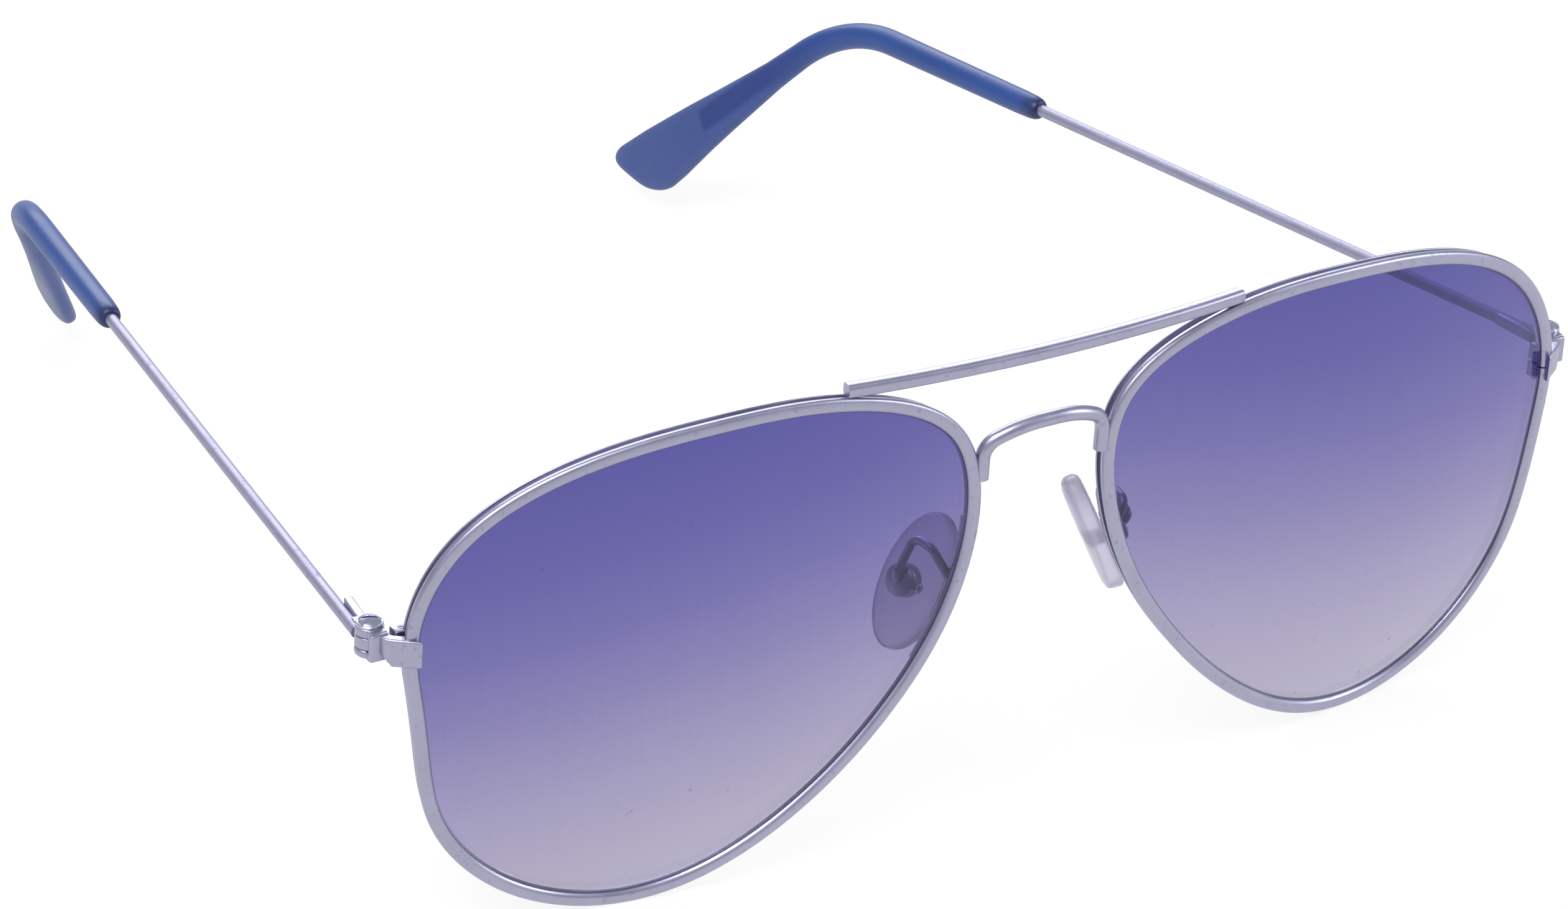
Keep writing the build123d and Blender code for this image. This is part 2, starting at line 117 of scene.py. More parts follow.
lens_shape = [
    (1.00, 0.07), (1.013, 0.165), (1.011, 0.33), (0.89, 0.63), (0.48, 0.91), (-0.01, 1.00), (-0.51, 0.98),
    (-0.94, 0.72), (-0.94, 0.17), (-0.69, -0.33), (-0.34, -0.73), (0.10, -0.98), (0.58, -0.90),
    (0.91, -0.49), (0.962, -0.213),
]


# ---- shader helpers ----------------------------------------------------------------------------------
class Socket:
    """A shader output that takes part in Python arithmetic by adding Math nodes."""

    def __init__(self, paint, output):
        self.paint = paint
        self.output = output

    def math(self, operation, *others):
        made = self.paint.add("ShaderNodeMath", {"operation": operation}, *((self,) + others))
        return made[0]

    def __add__(self, other):
        return self.math("ADD", other)

    def __sub__(self, other):
        return self.math("SUBTRACT", other)

    def __mul__(self, other):
        return self.math("MULTIPLY", other)

    def __rsub__(self, other):
        return (self * -1) + other

    __radd__ = __add__
    __rmul__ = __mul__


class Paint:
    """One material: its node tree and a single way of adding a node to it."""

    def __init__(self, name):
        self.material = bpy.data.materials.new(name)
        self.material.use_nodes = True
        self.tree = self.material.node_tree
        self.shader = self.tree.nodes["Principled BSDF"]
        self.surface = self.tree.nodes["Material Output"].inputs["Surface"]

    def add(self, kind, settings=None, *inputs, **named):
        """Add a node: settings first, then its sockets by place or by name. Returns its outputs."""
        node = self.tree.nodes.new(kind)
        for key, value in (settings or {}).items():
            if key == "stops":
                self.set_stops(node.color_ramp, value)
            else:
                setattr(node, key, value)
        for place, value in enumerate(inputs):
            self.feed(node.inputs[place], value)
        for key, value in named.items():
            self.feed(node.inputs[key.replace("_", " ")], value)
        return [Socket(self, output) for output in node.outputs]

    def feed(self, socket, value):
        if isinstance(value, Socket):
            self.tree.links.new(value.output, socket)
        else:
            socket.default_value = value

    def set_stops(self, ramp, stops):
        while len(ramp.elements) < len(stops):
            ramp.elements.new(1)
        for element, (place, colour) in zip(ramp.elements, stops):
            element.position = place
            element.color = colour

    def set(self, **values):
        for key, value in values.items():
            self.feed(self.shader.inputs[key.replace("_", " ")], value)

    def place(self):
        return self.add("ShaderNodeTexCoord")[3]

    def noise(self, scale, detail=3.0, at=None, stretch=(1, 1, 1)):
        mapped = self.add("ShaderNodeMapping", None, at or self.place(), Scale=stretch)[0]
        return self.add("ShaderNodeTexNoise", None, Vector=mapped, Scale=scale, Detail=detail)[0]

    def ramp(self, value, stops):
        return self.add("ShaderNodeValToRGB", {"stops": stops}, value)[0]

    def spread(self, value, low, high, to_low=0.0, to_high=1.0):
        return self.add("ShaderNodeMapRange", {"clamp": True}, value, low, high, to_low, to_high)[0]

    def mix(self, share, first, second):
        made = self.add("ShaderNodeMix", {"data_type": "RGBA"})
        node = made[0].output.node
        self.feed(node.inputs[0], share)
        self.feed(node.inputs[6], first)
        self.feed(node.inputs[7], second)
        return Socket(self, node.outputs[2])

    def reach(self, place, start, way):
        """How far a place lies from a starting point in one direction."""
        away = self.add("ShaderNodeVectorMath", {"operation": "SUBTRACT"}, place, start)[0]
        return self.add("ShaderNodeVectorMath", {"operation": "DOT_PRODUCT"}, away, way)[1]

    def bump(self, height, strength, distance):
        return self.add("ShaderNodeBump", None, Strength=strength, Distance=distance, Height=height)[0]


def srgb(red, green, blue, alpha=1.0):
    """Scene colour of a colour written in the usual 0 to 255."""
    def linear(value):
        value /= 255
        return value / 12.92 if value <= 0.04045 else ((value + 0.055) / 1.055) ** 2.4
    return (linear(red), linear(green), linear(blue), alpha)


# ---- materials ---------------------------------------------------------------------------------------
def satin_silver(name, polish):
    """Satin plated wire: faint cloudy sheen, fine drawing grain and small rubbed marks."""
    paint = Paint(name)
    cloud = paint.noise(260.0, 3.0)
    grain = paint.noise(5200.0, 2.0)
    rubbed = paint.spread(paint.noise(1500.0, 4.0), 0.60, 0.72)
    colour = paint.mix(cloud, srgb(160, 159, 181), srgb(176, 176, 197))
    colour = paint.mix(rubbed * 0.35, colour, srgb(128, 126, 150))
    paint.set(Base_Color=colour, Metallic=1.0)
    paint.set(Roughness=paint.spread(cloud, 0.3, 0.7, polish, polish + 0.08) + rubbed * 0.08)
    paint.set(Normal=paint.bump(grain, 0.05, 0.00001))
    return paint.material


def screw_steel():
    """Brighter turned steel of the screws."""
    paint = Paint("screw_steel")
    wear = paint.noise(1400.0, 3.0)
    paint.set(Base_Color=paint.mix(wear, srgb(164, 166, 186), srgb(206, 206, 222)), Metallic=1.0)
    paint.set(Roughness=paint.spread(wear, 0.3, 0.7, 0.16, 0.28))
    return paint.material


def tinted_lens(low, high):
    """Violet tint that fades downwards and a little inwards, with the coating's upright lines."""
    fade_inwards = 0.17
    paint = Paint("tinted_lens")
    place = paint.place()
    across, _, height = paint.add("ShaderNodeSeparateXYZ", None, place)
    level = height + (across.math("ABSOLUTE") - eye_spacing / 2 * MM) * fade_inwards
    share = paint.spread(level, low, high)
    cloud = paint.noise(70.0, 2.0, place)
    lines = paint.noise(1.0, 1.0, place, (2600.0, 2600.0, 30.0))
    share = share + (cloud - 0.5) * 0.03 + (lines - 0.5) * 0.05
    tint = paint.ramp(share, [
        (0.00, srgb(181, 177, 199)),
        (0.12, srgb(176, 170, 194)),
        (0.32, srgb(157, 150, 187)),
        (0.50, srgb(133, 126, 176)),
        (0.66, srgb(110, 105, 168)),
        (0.82, srgb(93, 88, 160)),
        (1.00, srgb(80, 76, 154)),
    ])
    specks = paint.spread(paint.noise(620.0, 2.0, place), 0.755, 0.79)
    paint.set(Base_Color=paint.mix(specks * 0.5, tint, srgb(70, 62, 96)), Roughness=0.0, IOR=1.45)
    paint.shader.inputs["Transmission Weight"].default_value = 1.0
    return paint.material


def blue_plastic():
    """Blue plastic, with the flat end of the wire inside the paddle painted in as a darker band."""
    paint = Paint("blue_plastic")
    place = paint.place()
    across, back, height = paint.add("ShaderNodeSeparateXYZ", None, place)
    side = paint.add("ShaderNodeCombineXYZ", None, across.math("ABSOLUTE"), back, height)[0]
    turn = stand.to_3x3()
    along = paint.reach(side, stand @ ear_corner, (turn @ hook_way).normalized())
    aside = paint.reach(side, stand @ ear_corner, (turn @ bend_side.cross(hook_way)).normalized())
    half = core_width / 2 * MM
    core = paint.spread(aside.math("ABSOLUTE"), half + 0.0004, half - 0.0002)
    core = core * paint.spread(along, (core_reach + 0.4) * MM, (core_reach - 0.3) * MM)
    core = core * paint.spread(along, 2 * MM, 12 * MM)
    flat = paint.spread(along, 6 * MM, 28 * MM)
    cloud = paint.noise(160.0, 3.0, place)
    tube = paint.mix(cloud, srgb(22, 56, 120), srgb(32, 70, 136))
    paddle = paint.mix(cloud, srgb(50, 68, 122), srgb(62, 80, 132))
    colour = paint.mix(flat, tube, paddle)
    colour = paint.mix(core * 0.85, colour, srgb(26, 46, 110))
    marks = paint.spread(paint.noise(420.0, 3.0, place), 0.66, 0.74)
    colour = paint.mix(marks * 0.25, colour, srgb(40, 50, 92))
    # painted shade: the sleeve darkens to deep blue at its mouth, where the wire goes in
    mouth = stand @ (wire_line + temple_way * sleeve_start)
    inside = paint.reach(side, mouth, (turn @ temple_way).normalized())
    colour = paint.mix(paint.spread(inside, 1.6 * MM, -0.6 * MM) * 0.85, colour, srgb(12, 20, 70))
    paint.set(Base_Color=colour, Roughness=paint.spread(cloud, 0.3, 0.7, 0.40, 0.48), IOR=1.49)
    paint.set(Normal=paint.bump(paint.noise(900.0, 2.0, place), 0.03, 0.00003))
    paint.shader.inputs["Coat Weight"].default_value = 0.08
    paint.shader.inputs["Coat Roughness"].default_value = 0.35
    return paint.material


def clear_silicone():
    """Milky clear soft plastic of the pads."""
    paint = Paint("clear_silicone")
    cloud = paint.noise(220.0, 3.0)
    paint.set(Base_Color=paint.mix(cloud, srgb(210, 206, 226), srgb(224, 220, 238)))
    paint.set(Roughness=paint.spread(cloud, 0.3, 0.7, 0.30, 0.40), IOR=1.41)
    paint.shader.inputs["Transmission Weight"].default_value = 0.88
    return paint.material


# ---- frames that the pieces share --------------------------------------------------------------------
def closed_spline(points, count):
    """Points of the smooth closed curve through the given ones, spaced by chord length."""
    given = np.array(points, float)
    total = len(given)
    step = np.linalg.norm(np.roll(given, -1, 0) - given, axis=1)
    before = np.roll(step, 1)
    system = np.zeros((total, total))
    for i in range(total):
        system[i, i - 1] += step[i]
        system[i, i] += 2 * (step[i] + before[i])
        system[i, (i + 1) % total] += before[i]
    rise = (np.roll(given, -1, 0) - given) / step[:, None]
    fall = np.roll(rise, 1, 0)
    slopes = np.linalg.solve(system, 3 * (rise * before[:, None] + fall * step[:, None]))
    ends = np.concatenate([[0], np.cumsum(step)])
    curve = []
    for where in np.arange(count) * ends[-1] / count:
        i = min(int(np.searchsorted(ends, where, "right")) - 1, total - 1)
        j = (i + 1) % total
        t = (where - ends[i]) / step[i]
        curve.append(
            given[i] * (2 * t**3 - 3 * t**2 + 1) + given[j] * (3 * t**2 - 2 * t**3)
            + slopes[i] * step[i] * (t**3 - 2 * t**2 + t) + slopes[j] * step[i] * (t**3 - t**2)
        )
    return np.array(curve)


outline = closed_spline(
    [(u * lens_width / 2 - outline_in, v * lens_height / 2 - outline_down) for u, v in lens_shape], 288
)
eye = Vector((eye_spacing / 2, 0, 0))
sphere_centre = eye + Vector((-sin(wrap), cos(wrap), 0)) * rim_sphere
eye_across = Vector((cos(wrap), sin(wrap), 0))
rim_middle = rim_width / 2 - groove_depth


def outline_at(outset):
    """Edge of the lens moved outwards, on the flat plane that touches the lens."""
    along = np.roll(outline, -1, 0) - np.roll(outline, 1, 0)
    along /= np.linalg.norm(along, axis=1)[:, None]
    return outline + np.stack([along[:, 1], -along[:, 0]], 1) * outset


def on_sphere(flat, lift=0.0):
    """Point of the lens sphere, lifted to its front, over a point of the flat plane."""
    touch = eye + eye_across * flat[0] + Vector((0, 0, 1)) * flat[1]
    away = (touch - sphere_centre).normalized()
    return sphere_centre + away * (rim_sphere + lift)


def rim_point(level, nasal, outset=0.0, lift=0.0):
    """Point of the rim at a height: outset from its middle line and lifted to its front."""
    found = [on_sphere(p, lift) for p in outline_at(rim_middle + outset) if (p[0] < -outline_in) == nasal]
    return min(found, key=lambda p: abs(p.z - level))


rim_out = rim_point(end_level, nasal=False)

# the front leans in the shared frame by the tilt of the fold axis
fold = next(joint for joint in frame["joints"] if joint["name"] == "temple_fold_left")
hinge_axis = Vector((fold["pos_m"][0] / MM, rim_out.y + hinge_setback, end_level))
fold_axis = Vector(fold["axis"])
lean = Matrix.Rotation(atan2(-fold_axis.y, fold_axis.z), 4, "X")
stand = (
    Matrix.Translation(Vector(fold["pos_m"])) @ lean @ Matrix.Scale(MM, 4) @ Matrix.Translation(-hinge_axis)
)


def direction(toe_in, drop):
    inwards, down = radians(toe_in), radians(drop)
    return Vector((-sin(inwards) * cos(down), cos(inwards) * cos(down), -sin(down)))


temple_way = direction(temple_toe_in, temple_drop)
hook_way = direction(hook_toe_in, hook_drop)
wire_line = hinge_axis + Vector((wire_outset, 0, wire_lift))
ear_corner = wire_line + temple_way * temple_length
bend_side = temple_way.cross(hook_way).normalized()


# ---- modelling helpers -------------------------------------------------------------------------------
def way_at(line, i):
    """Direction of a row of points at one of them."""
    return line[min(i + 1, len(line) - 1)] - line[max(i - 1, 0)]


def placing(origin, along, side):
    """Matrix whose Z runs along a piece and whose X is as near to side as it can be."""
    z = along.normalized()
    x = (side - z * side.dot(z)).normalized()
    y = z.cross(x)
    turn = Matrix((x, y, z)).transposed().to_4x4()
    return Matrix.Translation(origin) @ turn


def bent(points, radii, side, per_arc=14):
    """Placings along a run of straight stretches joined by arcs, with X kept near to side."""
    points = [Vector(p) for p in points]
    line = [(points[0], (points[1] - points[0]).normalized())]
    for before, corner, after, radius in zip(points, points[1:], points[2:], radii):
        into, out = (corner - before).normalized(), (after - corner).normalized()
        turn = into.angle(out)
        reach = radius * tan(turn / 2)
        inwards = (out - into).normalized()
        centre = corner + inwards * (radius / cos(turn / 2))
        normal = into.cross(out).normalized()
        start = corner - into * reach - centre
        for i in range(per_arc + 1):
            swing = Matrix.Rotation(turn * i / per_arc, 3, normal)
            line.append((centre + swing @ start, swing @ into))
    line.append((points[-1], (points[-1] - points[-2]).normalized()))
    return [placing(origin, along, Vector(side)) for origin, along in line]


def round_edges(made, edges, offset, segments=3):
    bmesh.ops.bevel(
        made, geom=edges, offset=offset, affect="EDGES", segments=segments, profile=0.5, material=-1
    )


def sliced(made, place, normal):
    """Cut away what lies behind a plane, close the cut and return its edges."""
    cut = bmesh.ops.bisect_plane(
        made, geom=list(made.verts) + list(made.edges) + list(made.faces),
        plane_co=place, plane_no=normal, clear_inner=True,
    )
    lips = [part for part in cut["geom_cut"] if isinstance(part, bmesh.types.BMEdge)]
    bmesh.ops.contextual_create(made, geom=lips)
    return lips


def grown(made, loop):
    """Extrude a loop of edges on the spot and return the new loop and its corners."""
    new = bmesh.ops.extrude_edge_only(made, edges=loop)["geom"]
    edges = [part for part in new if isinstance(part, bmesh.types.BMEdge)]
    return edges, [part for part in new if isinstance(part, bmesh.types.BMVert)]


def block(size, rounding):
    """Box about zero with rounded edges."""
    made = bmesh.new()
    bmesh.ops.create_cube(made, size=1, matrix=Matrix.Diagonal((size[0], size[1], size[2], 1)))
    round_edges(made, list(made.edges), rounding)
    return made


def barrel(radius, height, rounding, segments=48):
    """Upright cylinder about zero with rounded rims."""
    made = bmesh.new()
    bmesh.ops.create_cone(
        made, cap_ends=True, segments=segments, radius1=radius, radius2=radius, depth=height
    )
    rims = [edge for edge in made.edges if abs(edge.verts[0].co.z - edge.verts[1].co.z) < height / 2]
    round_edges(made, rims, rounding)
    return made


def slotted_head(radius, height, dome, slot, depth):
    """Screw head that stands on zero: two domed halves beside the slot, and its floor."""
    low = height - depth
    parts = [shifted(barrel(radius * 0.96, low, 0.03), (0, 0, low / 2))]
    sphere = (radius**2 + dome**2) / (2 * dome)
    steps = 8
    profile = [(0, 0), (radius, 0), (radius, height - dome)]
    for i in range(1, steps + 1):
        out = radius * (1 - i / steps)
        profile.append((out, height - sphere + (sphere**2 - out**2) ** 0.5))
    for turn in (0, pi):
        made = bmesh.new()
        verts = [made.verts.new((r, 0, z)) for r, z in profile]
        edges = [made.edges.new(pair) for pair in zip(verts, verts[1:])]
        bmesh.ops.spin(
            made, geom=verts + edges, axis=(0, 0, 1), angle=2 * pi, steps=40, use_merge=True
        )
        bmesh.ops.remove_doubles(made, verts=made.verts, dist=0.0005)
        bmesh.ops.recalc_face_normals(made, faces=made.faces)
        sliced(made, (0, slot / 2, 0), (0, 1, 0))
        parts.append(moved(made, Matrix.Rotation(turn, 4, "Z")))
    return joined(*parts)


def moved(made, place):
    bmesh.ops.transform(made, matrix=place, verts=made.verts)
    return made


def shifted(made, offset):
    return moved(made, Matrix.Translation(offset))


def joined(*parts):
    """One bmesh out of several, which are freed."""
    made = bmesh.new()
    for part in parts:
        bmesh.ops.recalc_face_normals(part, faces=part.faces)
        mesh = bpy.data.meshes.new("part")
        part.to_mesh(mesh)
        part.free()
        made.from_mesh(mesh)
        bpy.data.meshes.remove(mesh)
    return made


def round_ring(radius, segments=28):
    made = bmesh.new()
    bmesh.ops.create_circle(made, segments=segments, radius=radius)
    return made


def cornered_ring(corners, rounding, segments=5):
    """Closed outline through a few corners, each rounded by its own radius."""
    made = bmesh.new()
    verts = [made.verts.new((u, v, 0)) for u, v in corners]
    for i in range(len(verts)):
        made.edges.new((verts[i - 1], verts[i]))
    for vert, radius in zip(verts, rounding):
        if radius:
            bmesh.ops.bevel(
                made, geom=[vert], offset=radius, offset_type="OFFSET", affect="VERTICES",
                segments=segments, profile=0.5, material=-1,
            )
    return made


def bar_ring(height, depth, rounding):
    """Section of a flat bar, with a rounding for each corner."""
    u, v = height / 2, depth / 2
    return cornered_ring([(u, v), (-u, v), (-u, -v), (u, -v)], rounding)


def swept(ring, stations):
    """Carry a ring along the stations and close the ends."""
    made = ring
    bmesh.ops.transform(made, matrix=stations[0], verts=made.verts)
    first = list(made.edges)
    last = first
    placed = stations[0]
    for station in stations[1:]:
        last, verts = grown(made, last)
        bmesh.ops.transform(made, matrix=station @ placed.inverted(), verts=verts)
        placed = station
    for loop in (first, last):
        bmesh.ops.contextual_create(made, geom=loop)
    return made


def finish_piece(name, made, material, body, replaced=(), mirrored=False, sharp=40.0):
    """Turn a bmesh in the front's millimetres into a piece of the pair in its place."""
    place = stand @ Matrix.Scale(-1, 4, (1, 0, 0)) if mirrored else stand
    bmesh.ops.transform(made, matrix=place, verts=made.verts)
    bmesh.ops.recalc_face_normals(made, faces=made.faces)
    for face in made.faces:
        face.smooth = True
    for edge in made.edges:
        if len(edge.link_faces) == 2 and edge.calc_face_angle(0) > radians(sharp):
            edge.smooth = False
    mesh = bpy.data.meshes.new(name)
    made.to_mesh(mesh)
    piece = bpy.data.objects.new(name, mesh)
    bpy.context.scene.collection.objects.link(piece)
    piece.data.materials.append(material)
    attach(piece, body)
    if replaced:
        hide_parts(*replaced)
    return piece


def both_sides(name, make, material, body, stands_for=(), sharp=40.0):
    """The same piece on the wearer's left and, mirrored, on the right."""
    for side, mirrored in (("left", False), ("right", True)):
        replaced = [node + "_" + side for node in stands_for]
        owner = body if body == "front" else body + "_" + side
        made = make()
        finish_piece(name + "_" + side, made, material, owner, replaced, mirrored, sharp)
        made.free()


# ---- front -------------------------------------------------------------------------------------------
def rim():
    """Grooved wire round the lens: its X points out of the lens, its Y to the front."""
    inside, outside = -rim_width / 2, rim_width / 2
    front, back = rim_depth / 2, -rim_depth / 2
    groove_top = -lens_setback + groove_width / 2
    groove_low = -lens_setback - groove_width / 2
    corners = [
        (outside, back), (outside, front), (inside, front), (inside, groove_top),
        (inside + groove_depth, groove_top), (inside + groove_depth, groove_low), (inside, groove_low),
        (inside, back),
    ]
    ring = cornered_ring(corners, [0.5, 0.62, 0.42, 0.12, 0, 0, 0.12, 0.4])
    centre_line = [on_sphere(p) for p in outline_at(rim_middle)]
    above = next(i for i, p in enumerate(centre_line) if p.z > end_level + slit_width / 2)
    below = centre_line[above - 1]
    rise = centre_line[above].z - below.z
    slit = (end_level + slit_width / 2, end_level - slit_width / 2)
    ends = [below.lerp(centre_line[above], (level - below.z) / rise) for level in slit]
    line = [ends[0]] + centre_line[above:] + centre_line[:above] + [ends[1]]
    stations = []
    for i, point in enumerate(line):
        along = way_at(line, i)
        front_way = (point - sphere_centre).normalized()
        stations.append(placing(point, along, along.cross(front_way) * -1))
    return swept(ring, stations)


def lens():
    """Curved tinted glass, from the middle of its back round the edge to the middle of its front."""
    made = bmesh.new()
    edge = outline_at(-lens_clearance)
    half, thin = lens_thickness / 2, groove_width / 2 - lens_clearance
    lip = 1 - groove_depth / (lens_height / 2)
    shares = [(share, half) for share in (0.02, 0.2, 0.4, 0.6, 0.8, 0.93, lip)] + [(1.0, thin)]
    rings = [(share, -lift) for share, lift in shares] + list(reversed(shares))
    first = [made.verts.new(on_sphere(p * rings[0][0], rings[0][1] - lens_setback)) for p in edge]
    loop = [made.edges.new((first[i - 1], first[i])) for i in range(len(first))]
    start = loop
    flat = eye_across.cross(Vector((0, 0, 1)))
    for (share, lift), (was, _) in zip(rings[1:], rings):
        loop, verts = grown(made, loop)
        for vert in verts:
            away = vert.co - sphere_centre
            away *= rim_sphere / abs(away.dot(flat))
            touch = sphere_centre + away - eye
            local = (touch.dot(eye_across) / was * share, touch.z / was * share)
            vert.co = on_sphere(local, lift - lens_setback)
    for loose in (start, loop):
        bmesh.ops.contextual_create(made, geom=loose)
    return made


def brow_bar():
    """Bar over both rims, bowed a little to the front, with square ends."""
    middle_y = brow_end - brow_bow
    radius = (brow_half_length**2 + brow_bow**2) / (2 * brow_bow)
    swing = 2 * atan2(brow_bow, brow_half_length)
    stations = []
    count = 40
    for i in range(count + 1):
        turn = swing * (2 * i / count - 1)
        point = Vector((radius * sin(turn), middle_y + radius * (1 - cos(turn)), brow_level))
        stations.append(placing(point, Vector((cos(turn), sin(turn), 0)), Vector((0, 0, 1))))
    return swept(bar_ring(brow_height, brow_depth, [0.5] * 4), stations)


def bridge():
    """Bent wire whose feet lie along the nasal sides of the rims."""
    foot = rim_point(foot_level, nasal=True, outset=rim_width / 2 + bridge_wire * 0.25)
    foot -= Vector((0, bridge_forward, 0))
    shoulder = Vector((bridge_half_span, foot.y, bridge_level - bridge_rise))
    crown = Vector((bridge_half_span * 0.45, foot.y - bridge_bow, bridge_level + bridge_crown))
    half = [foot, shoulder, crown]
    points = half + [Vector((-p.x, p.y, p.z)) for p in reversed(half)]
    stations = bent(points, [foot_bend, crown_bend, crown_bend, foot_bend], (0, 1, 0))
    return swept(round_ring(bridge_wire / 2), stations)


# ---- end pieces and hinges ---------------------------------------------------------------------------
def end_piece():
    """Plate over the front of the rim, turned back at the corner to carry the hinge."""
    plate_back = (hinge_outset - plate_inset, hinge_setback - knuckle_radius - plate_play)
    points = [rim_out + Vector((x, y, plate_lift)) for x, y in (plate_front, plate_turn, plate_back)]
    stations = bent(points, [plate_corner], (0, 0, 1), 10)
    for i, station in enumerate(stations[2:], 2):
        narrowing = (i - 1) / (len(stations) - 2) * plate_taper
        lift = Matrix.Translation((narrowing * plate_height / 2, 0, 0))
        stations[i] = station @ lift @ Matrix.Diagonal((1 - narrowing, 1, 1, 1))
    made = swept(bar_ring(plate_height, plate_thickness, [0.22, 0.3, 0.3, 0.22]), stations)
    bmesh.ops.recalc_face_normals(made, faces=made.faces)
    lips = sliced(made, rim_out + Vector((plate_cut, 0, 0)), (1, plate_cut_lean, 0))
    round_edges(made, lips, 0.12, 2)
    return made


rim_screw_middle = Vector((
    rim_out.x + block_outset, rim_out.y + rim_depth / 2 + block_depth / 2, end_level
))


def closing_block(side):
    """One of the two blocks that the rim screw draws together."""
    height = (blocks_height - block_gap) / 2 - block_step
    lift = side * (block_gap + height) / 2
    made = block((block_width, block_depth, height), 0.14)
    return shifted(made, rim_screw_middle + Vector((0, 0, lift)))


def rim_screw():
    """Shank through both blocks, with its head below them."""
    height = blocks_height - 2 * block_step
    shank = shifted(barrel(rim_screw_radius, height + 0.1, 0.06), (0, 0, -0.05))
    head = slotted_head(rim_screw_head, rim_screw_head_height, 0.12, 0.2, 0.25)
    head = moved(head, Matrix.Translation((0, 0, -height / 2)) @ Matrix.Rotation(pi, 4, "X"))
    return shifted(joined(shank, head), rim_screw_middle)


middle_height = hinge_height * middle_share
outer_height = (hinge_height - middle_height) / 2
hinge_middle = hinge_axis + Vector((0, 0, hinge_lift))
leaf_inset = leaf_thickness - leaf_bite + temple_wire / 2 - wire_outset


def hinge_front():
    """The narrow plate behind the end piece and its two knuckles."""
    base_back = knuckle_radius + knuckle_play + hinge_base / 2
    base = block((hinge_base_width, hinge_base, hinge_height - 0.3), 0.2)
    parts = [shifted(base, (0, -base_back, 0))]
    for side, rounding in ((1, 0.12), (-1, 0.35)):
        lift = side * (hinge_height - outer_height) / 2
        web = block((hinge_web_width, base_back, outer_height - 0.16), 0.1)
        parts.append(shifted(barrel(knuckle_radius, outer_height, rounding), (0, 0, lift)))
        parts.append(shifted(web, (0, -base_back / 2, lift)))
    return shifted(joined(*parts), hinge_middle)


def hinge_rear():
    """The middle knuckle, its neck and the leaf along the inner side of the wire."""
    height = middle_height - 2 * knuckle_play
    neck_length = wire_gap - neck_gap
    neck_width = leaf_inset + temple_wire / 2
    neck = block((neck_width, neck_length, height), 0.12)
    neck = shifted(neck, (neck_width / 2 - leaf_inset, neck_length / 2, 0))
    leaf = block((leaf_thickness, leaf_length, height), 0.16)
    leaf = shifted(leaf, (leaf_thickness / 2 - leaf_inset, leaf_length / 2, 0))
    arm = moved(joined(neck, leaf), Matrix.Rotation(radians(temple_toe_in), 4, "Z"))
    return shifted(joined(barrel(knuckle_radius, height, 0.1), arm), hinge_middle)


def hinge_screw():
    """Domed slotted head over the hinge, with the end of its shank below."""
    head = slotted_head(hinge_head_radius, hinge_head_height, hinge_dome, slot_width, hinge_slot_depth)
    head = shifted(moved(head, Matrix.Rotation(radians(slot_turn), 4, "Z")), (0, 0, hinge_height / 2))
    shank = barrel(hinge_shank_radius, hinge_height + 0.06, 0.08)
    return shifted(joined(head, shank), hinge_middle)


# ---- nose pads ---------------------------------------------------------------------------------------
frontal, splay = radians(pad_frontal), radians(pad_splay)
pad_face = Vector((-cos(frontal) * cos(splay), cos(frontal) * sin(splay), -sin(frontal)))
pad_across = Vector((sin(splay), cos(splay), 0))
pad_upright = Matrix.Rotation(radians(pad_turn), 3, pad_face) @ pad_across.cross(pad_face)
pad_place = placing(Vector((pad_spread, pad_setback, pad_level)), pad_face, pad_upright)
pivot_depth = pad_thickness / 2 + pad_air + (cup_depth - cup_floor) / 2
cup_back = pad_thickness / 2 + pad_air + cup_depth
strip_lift = -(rim_depth + arm_strip_depth) / 2


def nose_pad():
    """Soft crowned oval, rounded all round, with the boss that the cup holds."""
    steps = []
    for i in range(7):
        turn = radians(15 * i)
        drop = pad_rounding * (1 - cos(turn))
        steps.append((pad_rounding * (1 - sin(turn)), -pad_thickness / 2 + drop))
    steps += [(inset, -level) for inset, level in reversed(steps)]
    for inset in (1.2, 1.7, 2.4):
        steps.append((inset, pad_thickness / 2 + pad_crown * (1 - (1 - inset / 2.6) ** 2)))
    stations = []
    for inset, level in steps:
        long, wide = pad_length / 2 - inset, pad_width / 2 - inset
        stations.append(Matrix.Translation((0, 0, level)) @ Matrix.Diagonal((long, wide, 1, 1)))
    pad = swept(round_ring(1.0, 64), stations)
    boss_depth = pivot_depth + boss_length / 2
    boss = shifted(block((boss_length, boss_width, boss_depth), 0.2), (0, 0, -boss_depth / 2))
    return moved(joined(pad, boss), pad_place)


def pad_cup():
    """Round metal cup behind the pad, hollow towards it."""
    made = barrel(cup_radius, cup_depth, 0.3)
    mouth = max(made.faces, key=lambda face: face.calc_center_median().z)
    bmesh.ops.inset_region(made, faces=[mouth], thickness=0.22)
    bmesh.ops.translate(made, verts=mouth.verts, vec=(0, 0, 0.12 - cup_depth + cup_floor))
    back = min(made.faces, key=lambda face: face.calc_center_median().z)
    bmesh.ops.inset_region(made, faces=[back], thickness=0.45)
    bmesh.ops.translate(made, verts=back.verts, vec=(0, 0, -0.18))
    return moved(made, pad_place @ Matrix.Translation((0, 0, cup_depth / 2 - cup_back)))


def pad_screw():
    """Small screw across the cup, through the boss of the pad."""
    shank = barrel(pad_screw_radius, 2 * cup_radius, 0.05, 24)
    head = slotted_head(pad_screw_head, pad_screw_head, 0.18, 0.14, 0.2)
    head = shifted(head, (0, 0, cup_radius - 0.02))
    across = Matrix.Rotation(radians(90), 4, "X")
    return moved(joined(shank, head), pad_place @ Matrix.Translation((0, 0, -pivot_depth)) @ across)


